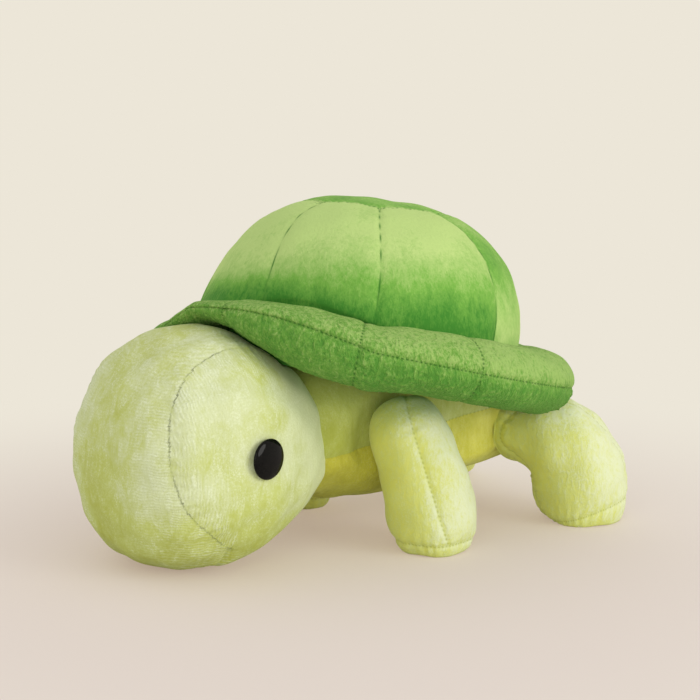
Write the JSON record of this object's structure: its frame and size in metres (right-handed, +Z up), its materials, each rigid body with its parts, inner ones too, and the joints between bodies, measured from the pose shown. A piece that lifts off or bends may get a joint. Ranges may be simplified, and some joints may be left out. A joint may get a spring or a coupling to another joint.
{
  "type": "plush turtle",
  "caption": "Stuffed turtle in short-pile plush: domed shell in a padded rim, large round head with bead eyes, sewn legs and tail that flex at the body.",
  "frame": {"origin": "on the surface that the toy stands on, under the middle of its outline", "axes": "+Z up, -Y towards the head, +X towards the turtle's left side"},
  "size_m": [0.2006, 0.2531, 0.1581],
  "materials": {
    "lime_plush": "short pile",
    "light_green_plush": "short pile",
    "green_plush": "short pile",
    "rim_green_plush": "short pile",
    "yellow_green_plush": "short pile",
    "fibre_filling": "loose fibre",
    "black_plastic": "gloss",
    "white_plastic": "matt"
  },
  "bodies": {
    "trunk": {"trunk_filling": "fibre_filling", "belly_panel": "yellow_green_plush", "trunk_side_left": "lime_plush", "trunk_side_right": "lime_plush", "shell_filling": "fibre_filling", "shell_top_panel": "light_green_plush", "shell_base_panel": "green_plush", "shell_side_panel_1": "green_plush", "shell_side_panel_2": "light_green_plush", "shell_side_panel_3": "green_plush", "shell_side_panel_4": "light_green_plush", "shell_side_panel_5": "green_plush", "shell_side_panel_6": "light_green_plush", "shell_side_panel_7": "green_plush", "shell_side_panel_8": "light_green_plush", "rim_filling": "fibre_filling", "rim_upper_panel_1": "rim_green_plush", "rim_upper_panel_2": "rim_green_plush", "rim_upper_panel_3": "rim_green_plush", "rim_upper_panel_4": "rim_green_plush", "rim_upper_panel_5": "rim_green_plush", "rim_upper_panel_6": "rim_green_plush", "rim_upper_panel_7": "rim_green_plush", "rim_upper_panel_8": "rim_green_plush", "rim_lower_panel_1": "rim_green_plush", "rim_lower_panel_2": "rim_green_plush", "rim_lower_panel_3": "rim_green_plush", "rim_lower_panel_4": "rim_green_plush", "rim_lower_panel_5": "rim_green_plush", "rim_lower_panel_6": "rim_green_plush", "rim_lower_panel_7": "rim_green_plush", "rim_lower_panel_8": "rim_green_plush"},
    "head": {"head_filling": "fibre_filling", "head_gusset": "lime_plush", "throat_panel": "lime_plush", "head_side_left": "lime_plush", "head_side_right": "lime_plush", "eye_left": "black_plastic", "eye_right": "black_plastic", "eye_washer_left": "white_plastic", "eye_washer_right": "white_plastic"},
    "front_left_leg": {"front_left_leg_filling": "fibre_filling", "front_left_leg_sole": "lime_plush", "front_left_leg_front_panel": "lime_plush", "front_left_leg_back_panel": "lime_plush"},
    "front_right_leg": {"front_right_leg_filling": "fibre_filling", "front_right_leg_sole": "lime_plush", "front_right_leg_front_panel": "lime_plush", "front_right_leg_back_panel": "lime_plush"},
    "rear_left_leg": {"rear_left_leg_filling": "fibre_filling", "rear_left_leg_sole": "lime_plush", "rear_left_leg_front_panel": "lime_plush", "rear_left_leg_back_panel": "lime_plush"},
    "rear_right_leg": {"rear_right_leg_filling": "fibre_filling", "rear_right_leg_sole": "lime_plush", "rear_right_leg_front_panel": "lime_plush", "rear_right_leg_back_panel": "lime_plush"},
    "tail": {"tail_filling": "fibre_filling", "tail_cover": "lime_plush"}
  },
  "joints": [
    {"name": "head_turn", "type": "hinge", "parent": "trunk", "child": "head", "pos_m": [0, -0.0211, 0.055], "axis": [0, 0, 1], "range_deg": [-10, 10], "stiffness_Nm_per_rad": 1},
    {"name": "front_left_leg_swing", "type": "hinge", "parent": "trunk", "child": "front_left_leg", "pos_m": [0.045, 0.0069, 0.053], "axis": [1, 0, 0], "range_deg": [-15, 15], "stiffness_Nm_per_rad": 1},
    {"name": "front_right_leg_swing", "type": "hinge", "parent": "trunk", "child": "front_right_leg", "pos_m": [-0.045, 0.0069, 0.053], "axis": [1, 0, 0], "range_deg": [-15, 15], "stiffness_Nm_per_rad": 1},
    {"name": "rear_left_leg_swing", "type": "hinge", "parent": "trunk", "child": "rear_left_leg", "pos_m": [0.031, 0.0779, 0.04], "axis": [1, 0, 0], "range_deg": [-15, 15], "stiffness_Nm_per_rad": 1},
    {"name": "rear_right_leg_swing", "type": "hinge", "parent": "trunk", "child": "rear_right_leg", "pos_m": [-0.031, 0.0779, 0.04], "axis": [1, 0, 0], "range_deg": [-15, 15], "stiffness_Nm_per_rad": 1},
    {"name": "tail_wag", "type": "hinge", "parent": "trunk", "child": "tail", "pos_m": [0, 0.1039, 0.038], "axis": [1, 0, 0], "range_deg": [-15, 10], "stiffness_Nm_per_rad": 0.02}
  ]
}
